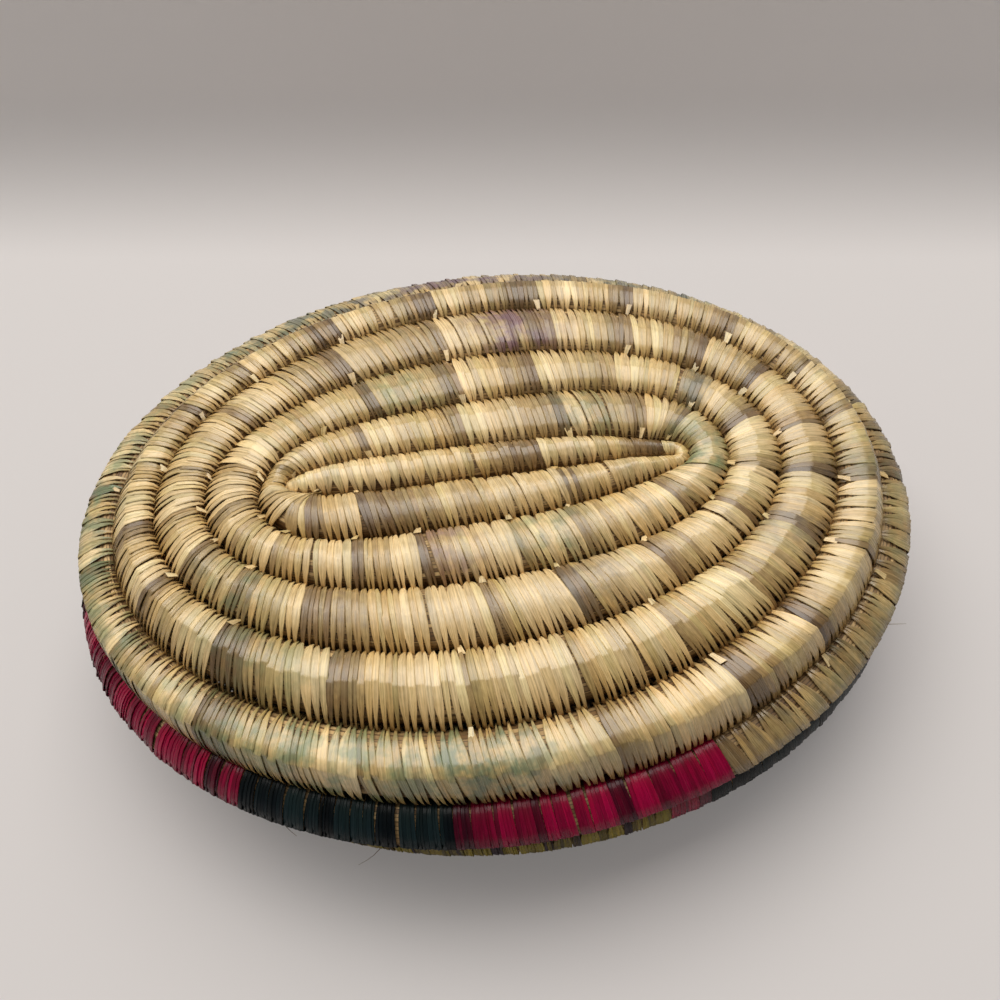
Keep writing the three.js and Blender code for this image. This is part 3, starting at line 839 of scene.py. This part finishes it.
# %% Grass of the bundle
STEMS = 24  # ridges round the bundle
TONE_STEP, TONES_PER_METRE = 7.3, 25.0
STEM_TONES = [(0.4, (0.19, 0.1, 0.034)), (0.7, (0.82, 0.56, 0.25))]
# Painted shade: a dark line where neighbouring stems meet
STEM_GAP_SHADE = [(0.0, (0.15, 0.13, 0.11)), (0.2, WHITE)]
GRASS_ROUGHNESS = 0.6
grass, grass_tree, grass_shader = new_material("grass_stems")
sums, value = partial(calc, grass_tree), partial(attribute, grass_tree)
stem = sums("MULTIPLY", value("around"), 2.0 * STEMS)
stem_x = sums("MULTIPLY", sums("FLOOR", stem), TONE_STEP)
stem_y = sums("MULTIPLY", value("along"), TONES_PER_METRE)
stem_tone = noise(grass_tree, combine(grass_tree, stem_x, stem_y, 0.0), 1.0)
straw = ramp(grass_tree, stem_tone, STEM_TONES)
# painted shade between the stems
between = ramp(grass_tree, sums("PINGPONG", stem, 0.5), STEM_GAP_SHADE)
straw = mix(grass_tree, 1.0, straw, between, "MULTIPLY")
fill(grass_shader, {"Base Color": straw, "Roughness": GRASS_ROUGHNESS})
print("stems round a bundle:", STEMS)

# %% [markdown]
# ## The strips and their stitches
#
# A strip is used up from its wide pale butt to its narrow dark tip, and then the next one starts
# with a sharp change of colour. The joins that show are read from the photograph, in turns of the
# lid's spiral. On the body nothing shows, so joins come at the usual distance. Each strip is cut
# into clusters that fill it from join to join: one or two stitches of natural leaf, or three to
# six narrow dyed ones.

# %% Strips of the lid and the body
LID_JOINS = [
    0.295, 0.37, 0.44, 0.51, 0.60, 0.698, 0.745, 0.795, 0.87, 0.94,
    1.0, 1.065, 1.135, 1.207, 1.239, 1.288, 1.328, 1.395, 1.445, 1.49,
    1.56, 1.652, 1.693, 1.745, 1.792, 1.845, 1.92, 1.985,
    2.05, 2.10, 2.165, 2.217, 2.257, 2.352, 2.40, 2.445, 2.49,
    2.54, 2.61, 2.682, 2.74, 2.803, 2.85, 2.90, 2.945,
    3.0, 3.045, 3.09, 3.135, 3.18, 3.225, 3.27, 3.327, 3.385, 3.44, 3.49,
    3.54, 3.59, 3.63, 3.685, 3.737, 3.79, 3.84, 3.90, 3.95, 3.99,
    4.04, 4.083, 4.13, 4.17, 4.222, 4.27, 4.31, 4.377, 4.43, 4.48,
    4.53, 4.59, 4.64, 4.70, 4.75, 4.81, 4.86, 4.91, 4.97, 5.02, 5.08, 5.13,
]
START_JOINS = [73 * MM, 108 * MM, 152 * MM]  # from the bundle's tip, before the first round
NATURAL_STOP = skirt_start + 0.585
STRIP_LENGTH = 33 * MM  # of coil, where no join is read
STRIP_CHANGES, LAST_STRIP = (0.7, 1.3), 1.4  # shares of that length
RIBBON_FILL = 1.15  # a stitch lies a little over the one before it

# How a strip is used: width of a stitch at its butt and its tip, stitches in a cluster, gap
# between clusters in stitch widths, share of gaps that stand open, spread of the tone, width of a
# cluster in the outer groove as a share, and how much of the usual lean it has
NATURAL = SimpleNamespace(
    butt=2.2 * MM, tip=1.5 * MM, count=(1, 2), gap=(0.0, 0.1), open=0.02, spread=0.08,
    pinch=(0.78, 1.0), lean=1.0,
)
OPENED = SimpleNamespace(
    butt=1.9 * MM, tip=1.5 * MM, count=(1, 3), gap=(0.03, 0.15), open=0.25, spread=0.08,
    pinch=(0.8, 1.0), lean=1.0,
)
DYED = SimpleNamespace(
    butt=1.1 * MM, tip=1.1 * MM, count=(3, 6), gap=(0.03, 0.15), open=0.12, spread=0.28,
    pinch=(0.85, 1.0), lean=0.4,
)
OPEN_GAP = 0.8 * MM
LEAN = math.tan(math.radians(11))
STRIP_LEANS, CLUSTER_LEANS = (0.6, 1.4), (0.8, 1.2)
STITCH_WIDTHS, FULLNESS, TILTS = (0.7, 1.25), (-0.01, 0.012), (0.006, 0.026)
CLUSTER_ROLL, STITCH_ROLL = 0.06, 0.05
TONE_BENDS = (1.4, 3.2)  # a strip stays pale for long and darkens late

# Dye stains: turn at the middle, half the span in turns, green, purple
STAINS = [
    (0.81, 0.03, 0.5, 0), (0.98, 0.06, 0.7, 0), (1.05, 0.03, 0.6, 0), (1.22, 0.02, 0.6, 0),
    (1.27, 0.015, 0, 0.55), (1.71, 0.02, 0.6, 0), (1.915, 0.015, 0.6, 0.3), (2.2, 0.02, 0.3, 0.3),
    (2.40, 0.03, 0.55, 0), (2.78, 0.025, 0, 0.9), (3.09, 0.02, 0.3, 0.3), (3.36, 0.04, 0.45, 0),
    (4.02, 0.04, 0.3, 0), (4.26, 0.025, 0.7, 0.15), (4.32, 0.06, 0.7, 0), (4.5, 0.12, 0.75, 0),
    (4.67, 0.05, 1.0, 0.3), (4.75, 0.05, 0.5, 0.8), (4.84, 0.06, 1.0, 0.4), (5.05, 0.08, 0.35, 0),
    (5.14, 0.04, 0.3, 0.2),
]


def strips_between(joins, stop):
    """Starts and stops of the strips from join to join."""
    bounds = sorted(joins) + [stop]
    return list(zip(bounds[:-1], bounds[1:]))


natural_stop = lid_coil.at_turn(NATURAL_STOP)
lid_joins = [0.0, *START_JOINS, *map(lid_coil.at_turn, LID_JOINS)]
lid_strips = strips_between(lid_joins, natural_stop)
rng = np.random.default_rng(7)
body_joins = [0.0]
while body_joins[-1] < body_coil.along[-1] - LAST_STRIP * STRIP_LENGTH:
    body_joins.append(body_joins[-1] + STRIP_LENGTH * rng.uniform(*STRIP_CHANGES))
body_strips = strips_between(body_joins, float(body_coil.along[-1]))
print(len(lid_strips), "natural strips on the lid,", len(body_strips), "on the body")


# %% Laying stitches along a strip
def stains_at(coil, place):
    """Strength of the green stain and of the purple one, at a place on the coil."""
    total = np.zeros(2)
    for turn, span, *strengths in STAINS:
        middle_place = coil.at_turn(turn)
        reach = coil.at_turn(turn + span) - middle_place
        total += np.array(strengths) * math.exp(-(((place - middle_place) / reach) ** 2))
    return total


def stitch_strip(run, rng, coil, start, stop, style, tones, stained=False):
    """Fills a strip from start to stop with clusters of stitches that narrow along it."""
    stitches, x = [], 0.0
    strip_lean = LEAN * style.lean * rng.uniform(*STRIP_LEANS)
    while x < stop - start:
        share = x / (stop - start)
        wide = style.butt + (style.tip - style.butt) * share
        count = rng.integers(style.count[0], style.count[1], endpoint=True)
        widths = wide * rng.uniform(*STITCH_WIDTHS, count)
        stitches.append((x, widths))
        opened = OPEN_GAP if rng.random() < style.open else 0.0
        x += widths.sum() + wide * rng.uniform(*style.gap) + opened
    stretch = (stop - start) / x
    bend = rng.uniform(*TONE_BENDS)
    low, high = tones
    for x, widths in stitches:
        cluster = start + (x + widths.sum() / 2) * stretch
        edges = start + (x + np.concatenate([[0], np.cumsum(widths)])) * stretch
        reach = float(np.interp(cluster, coil.along, coil.half_width))
        lean = reach * strip_lean * rng.uniform(*CLUSTER_LEANS)
        drawn = rng.uniform(*style.pinch)
        cluster_roll = rng.uniform(-CLUSTER_ROLL, CLUSTER_ROLL)
        cluster_tone = rng.normal(0, style.spread)
        for left, right_edge in zip(edges[:-1], edges[1:]):
            place = (left + right_edge) / 2
            share = (place - start) / (stop - start)
            tone = low + (high - low) * share**bend + cluster_tone
            tone += rng.normal(0, style.spread / 2)
            green, purple = stains_at(coil, place) if stained else (0.0, 0.0)
            made = dict(
                place=place, centre=place, roll=rng.normal(0, STITCH_ROLL) + cluster_roll,
                half_width=(right_edge - left) / 2 * RIBBON_FILL,
                fullness=1 + rng.uniform(*FULLNESS), tilt=-rng.uniform(*TILTS),
                cluster=cluster, pinch=drawn, lean=lean, tone=float(np.clip(tone, 0, 1)),
                seed=rng.random(), green_stain=green, purple_stain=purple,
            )
            run.append(made)


def natural_run(coil, strips, seed, stained, open_from=math.inf):
    """All natural stitches of a coil, in the order in which they were made."""
    rng, run = np.random.default_rng(seed), []
    for start, stop in strips:
        tones = rng.uniform(*BUTT_TONES), rng.uniform(*TIP_TONES)
        style = NATURAL
        if start > open_from:
            style, tones = OPENED, (tones[0] + OPENED_TONE, tones[1])
        stitch_strip(run, rng, coil, start, stop, style, tones, stained)
    return run


def stitched_piece(body, label, run, leaf, **inputs):
    """Makes the stitches of one binding of the solid model."""
    name, node = f"{body}_{label}_stitches", f"{body}_binding_{label}"
    columns = {key: [made[key] for made in run] for key in run[0]}
    mesh = new_mesh(name, [(x, 0, 0) for x in columns.pop("place")], [], columns)
    inputs.update(Stitch=stitch, Path=coils[body].path, Material=leaves[leaf])
    make_piece(name, mesh, stitching, body, [node], f"{leaf}_strip", **inputs)


# %% Natural stitches
BUTT_TONES, TIP_TONES, OPENED_TONE = (0.0, 0.18), (0.5, 1.0), 0.25
OPEN_TURN = 4.95  # from here to the dyed strips, the clusters stand apart
lid_run = natural_run(lid_coil, lid_strips, 11, True, lid_coil.at_turn(OPEN_TURN))
body_run = natural_run(body_coil, body_strips, 23, False)
rim_turn = body_coil.turn[-1] - 1
lid_stops = {"crown": CROWN_TURNS, "shoulder": NATURAL_STOP}
body_stops = {"base": base_turns, "wall_lower": (base_turns + rim_turn) / 2}
body_stops |= {"wall_upper": rim_turn, "rim": body_coil.turn[-1]}
for body, run, stops in (("lid", lid_run, lid_stops), ("body", body_run, body_stops)):
    start = 0.0
    for label, turn in stops.items():
        stop = coils[body].at_turn(turn)
        part = [made for made in run if start <= made["place"] < stop]
        stitched_piece(body, label, part, "natural")
        start = stop

# %% Dyed stitches
# Runs of one colour, with the turns of the spiral that each takes
SKIRT_RUNS = [
    ("magenta_1", 0.094), ("navy_1", 0.077), ("magenta_2", 0.134), ("navy_2", 0.12),
    ("magenta_3", 0.12), ("navy_3", 0.13), ("magenta_4", 0.24), ("navy_4", 0.09),
    ("magenta_5", 0.016),
]
DRAWN_ABOVE = {"Inner Start": 0.0, "Inner Pinch": 0.9, "Own Taper": 0.1}  # narrow on top
DYED_TONES = (0.2, 0.7)
# Yellow stitches and dark ticks in turn: tones, and length along the coil
YELLOW_RHYTHM = [((0.0, 0.3), 4.2 * MM), ((0.95, 1.0), 2.4 * MM)]
SPAN_CHANGES, BARE_END = (0.85, 1.15), 6 * MM
rng = np.random.default_rng(41)
turn, start = NATURAL_STOP, natural_stop
for label, turns in SKIRT_RUNS:
    turn += turns
    stop = lid_coil.at_turn(turn)
    run, colour = [], label.split("_")[0]
    stitch_strip(run, rng, lid_coil, start, stop, DYED, DYED_TONES)
    stitched_piece("lid", label, run, colour, **DRAWN_ABOVE)
    start = stop

yellow_run, lid_end = [], float(lid_coil.along[-1])
while start < lid_end - BARE_END:
    for tones, span in YELLOW_RHYTHM:
        stop = min(start + span * rng.uniform(*SPAN_CHANGES), lid_end)
        stitch_strip(yellow_run, rng, lid_coil, start, stop, DYED, tones)
        start = stop
stitched_piece("lid", "yellow", yellow_run, "yellow")

# %% [markdown]
# ## Loose ends
#
# Where a strip starts, its pale butt sticks out of the inner groove as a short tongue. A few fibres
# have come loose at the rim. Both are thin tubes, laid on the rod and wound like the stitches.

# %% Butt ends
LEAF_LABELS = ("across", "around", "tone", "seed")
END_SECTIONS = [(-0.74, 0.72), (-0.9, 0.62), (-1.05, 0.5)]  # across and height, along a tongue
END_SHARE, END_WIDTH, END_DEPTH, END_NARROWING = 0.7, 2.2 * MM, 0.05, 0.2
END_CORNERS = [(-1, 0), (1, 0), (1, END_DEPTH), (-1, END_DEPTH)]
END_SKEWS, END_RISES, END_WIDTHS = (-1.5, 1.0), (0.9, 1.15), (0.7, 1.1)
END_AROUND, END_TONE = 0.35, 0.3


def wound_piece(body, name, mesh, node_names, slot, material):
    inputs = {"Path": coils[body].path, "Material": material}
    make_piece(name, mesh, winding_only, body, node_names, slot, **inputs)


def loose_piece(name, corners, faces, values):
    """Winds loose leaf on the lid's coil. Each corner has a value for every label."""
    mesh = new_mesh(name, corners, faces, dict(zip(LEAF_LABELS, zip(*values))))
    wound_piece("lid", name, mesh, [], "natural_strip", leaves["natural"])


rng = np.random.default_rng(5)
shown = [join for join in lid_joins[1:] if rng.random() < END_SHARE]
corners, faces, values = [], [], []
for join in shown:
    faces += tube_faces(len(corners), len(END_SECTIONS), len(END_CORNERS))
    seed, skew = rng.random(), rng.uniform(*END_SKEWS) * MM
    rise, wide = rng.uniform(*END_RISES), END_WIDTH * rng.uniform(*END_WIDTHS)
    for k, (y, z) in enumerate(END_SECTIONS):
        x, half = join + skew * k / 2, wide / 2 * (1 - END_NARROWING * k)
        for side, depth in END_CORNERS:
            corners.append((x + side * half, y, z * rise - depth))
            values.append((side, END_AROUND + k / 20, END_TONE * seed, seed))
loose_piece("lid_strip_ends", corners, faces, values)

# %% Stray hairs
HAIR_WIDTH, HAIR_RINGS, HAIR_NARROWING, HAIR_TONE = 0.25 * MM, 5, 0.6, 0.8
ROOT_Y, ROOT_Z, HAIR_SWAY, HAIR_LIFT, COIL_HALF = 0.3, 0.8, 0.4, 0.2, 6 * MM
# Turn of the spiral, how far a hair stands out in coil halves, and its drift along the coil
HAIRS = [(5.095, 0.7, -3 * MM), (5.34, 0.3, -4 * MM), (6.31, 1.0, 6 * MM)]
corners, faces, values = [], [], []
for turn, reach, drift in HAIRS:
    faces += tube_faces(len(corners), HAIR_RINGS, 4)
    for share in np.linspace(0, 1, HAIR_RINGS):
        x = lid_coil.at_turn(turn) + drift * share**1.5
        y, z = ROOT_Y + HAIR_SWAY * share**2, ROOT_Z + (HAIR_LIFT + reach) * share
        half = HAIR_WIDTH / 2 * (1 - HAIR_NARROWING * share)
        rise = half / COIL_HALF
        corners += [(x - half, y, z), (x, y, z + rise), (x + half, y, z), (x, y, z - rise)]
        values += [(0.0, 0.3 + share / 10, HAIR_TONE, reach)] * 4
loose_piece("lid_stray_hairs", corners, faces, values)

# %% [markdown]
# ## The grass bundle
#
# Stems show wherever two clusters part, as a ladder of tan bars in the dark. The bundle is a tube
# whose section has a small ridge for each stem, laid straight and wound like the stitches. The
# body's is a little broader, so that no light comes through its wall.

# %% Bundles
RIDGE, VALLEY = 0.915, 0.865  # of the coil's own radius
RING_SPACING = 3.5 * MM
BREADTHS = {"lid": 1.0, "body": 1.1}


def bundle_mesh(name, coil, broad):
    rings, sides = np.arange(0, coil.along[-1], RING_SPACING), 2 * STEMS
    stations = np.clip(np.array(COIL_SECTION + COIL_SECTION[:1]), -1, 1)
    run = np.concatenate([[0], np.cumsum(length(np.diff(stations, axis=0)))])
    at = run[-1] * (1 - np.arange(sides) / sides)
    outline = np.stack([np.interp(at, run, column) for column in stations.T], -1)
    outline *= np.where(np.arange(sides) % 2, RIDGE, VALLEY)[:, None] * (broad, 1)
    corners = [(place, y, z) for place in rings for y, z in outline]
    around = [k / sides for k in range(sides)] * len(rings)
    columns = {"around": around, "along": [place for place, _, _ in corners]}
    return new_mesh(name, corners, tube_faces(0, len(rings), sides), columns, smooth=True)


for body, coil in coils.items():
    name = f"{body}_grass_bundle"
    bundle = bundle_mesh(name, coil, BREADTHS[body])
    wound_piece(body, name, bundle, [f"{body}_bundle"], "grass_bundle", grass)

# %% [markdown]
# ## Removing the helpers
#
# The helpers that the trees read are no longer needed, since every piece is a plain mesh now. The
# dressed basket has to stay within the solid model's box, apart from a little fullness.

# %% Finish
for helper in (lid_coil.path, body_coil.path, stitch):
    bpy.data.objects.remove(helper)
